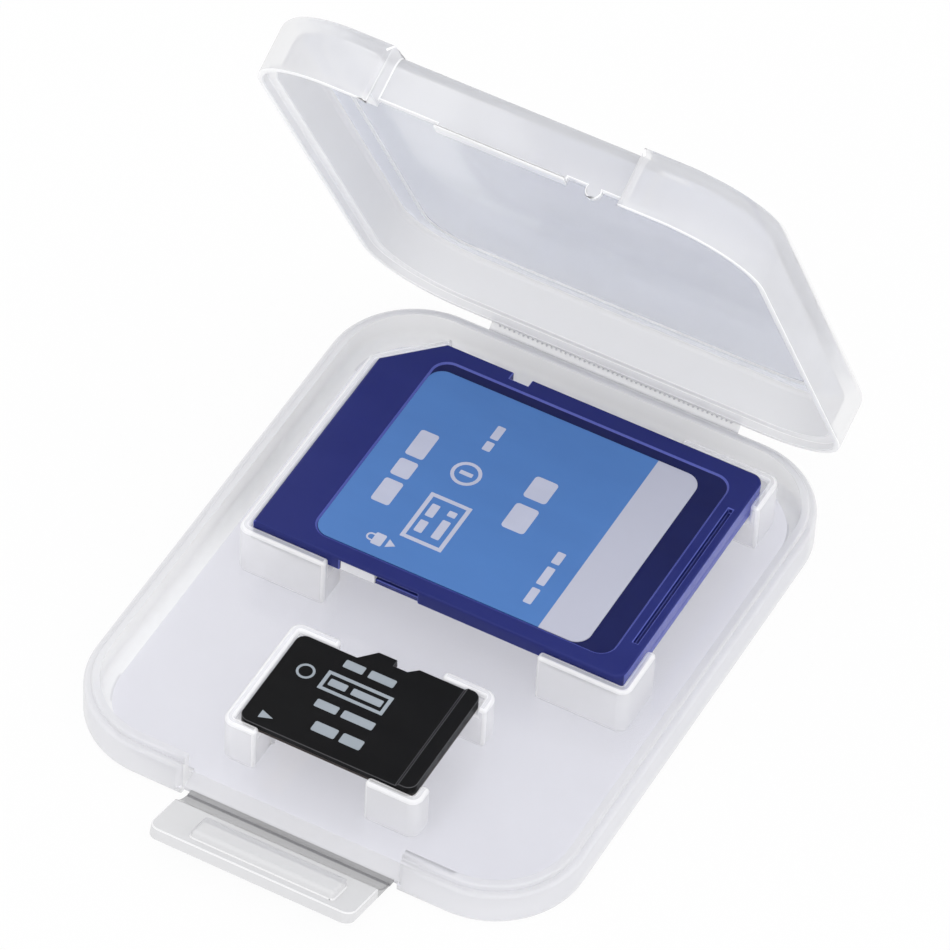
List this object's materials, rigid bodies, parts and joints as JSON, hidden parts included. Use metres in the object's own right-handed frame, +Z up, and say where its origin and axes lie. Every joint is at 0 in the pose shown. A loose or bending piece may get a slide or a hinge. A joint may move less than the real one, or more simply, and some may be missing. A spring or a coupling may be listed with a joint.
{
  "type": "memory card case",
  "caption": "Flat translucent plastic case with a film-hinged lid and a fold-up latch flap, holding a full-size and a miniature memory card on raised corner supports.",
  "frame": {"origin": "middle of the flat underside of the base tray", "axes": "+X along the lid hinge, to the right as seen from the latch; +Y from the latch to the lid hinge; +Z up, out of the open tray"},
  "size_m": [0.042, 0.0625, 0.0514],
  "materials": {
    "case_plastic": "glossy, milky translucent",
    "card_shell_navy": "fine satin",
    "label_film": "printed film, semi-gloss",
    "slider_white": "satin",
    "board_green": "solder resist",
    "gold_contact": "gold plated",
    "chip_black": "moulded resin",
    "capacitor_ceramic": "fired",
    "small_card_black": "fine satin",
    "silicon_die": "polished"
  },
  "bodies": {
    "base": {"base_tray": "case_plastic", "large_card_supports": "case_plastic", "small_card_supports": "case_plastic", "lid_hinge_film": "case_plastic", "latch_hinge_film": "case_plastic"},
    "lid": {"lid_shell": "case_plastic"},
    "latch": {"latch_flap": "case_plastic"},
    "large_card": {"large_card_top_shell": "card_shell_navy", "large_card_bottom_shell": "card_shell_navy", "large_card_label": "label_film", "large_card_circuit_board": "board_green", "large_card_contacts": "gold_contact", "large_card_memory_chip": "chip_black", "large_card_controller_chip": "chip_black", "large_card_capacitors": "capacitor_ceramic"},
    "write_protect": {"write_protect_slider": "slider_white"},
    "small_card": {"small_card_body": "small_card_black", "small_card_substrate": "small_card_black", "small_card_contacts": "gold_contact", "small_card_memory_die": "silicon_die", "small_card_controller_die": "silicon_die"}
  },
  "joints": [
    {"name": "lid_hinge", "type": "hinge", "parent": "base", "child": "lid", "pos_m": [0, 0.02655, 0.0032], "axis": [-1, 0, 0], "range_deg": [-61.8, 78.2], "deforming": ["lid_hinge_film"]},
    {"name": "latch_hinge", "type": "hinge", "parent": "base", "child": "latch", "pos_m": [0, -0.0256, 0.00017], "axis": [1, 0, 0], "range_deg": [-73, 15], "deforming": ["latch_hinge_film"]},
    {"name": "large_card_lift", "type": "slide", "parent": "base", "child": "large_card", "axis": [0, 0, 1], "range_m": [0, 0.008]},
    {"name": "write_protect_slide", "type": "slide", "parent": "large_card", "child": "write_protect", "axis": [1, 0, 0], "range_m": [0, 0.0035]},
    {"name": "small_card_lift", "type": "slide", "parent": "base", "child": "small_card", "axis": [0, 0, 1], "range_m": [0, 0.008]}
  ]
}
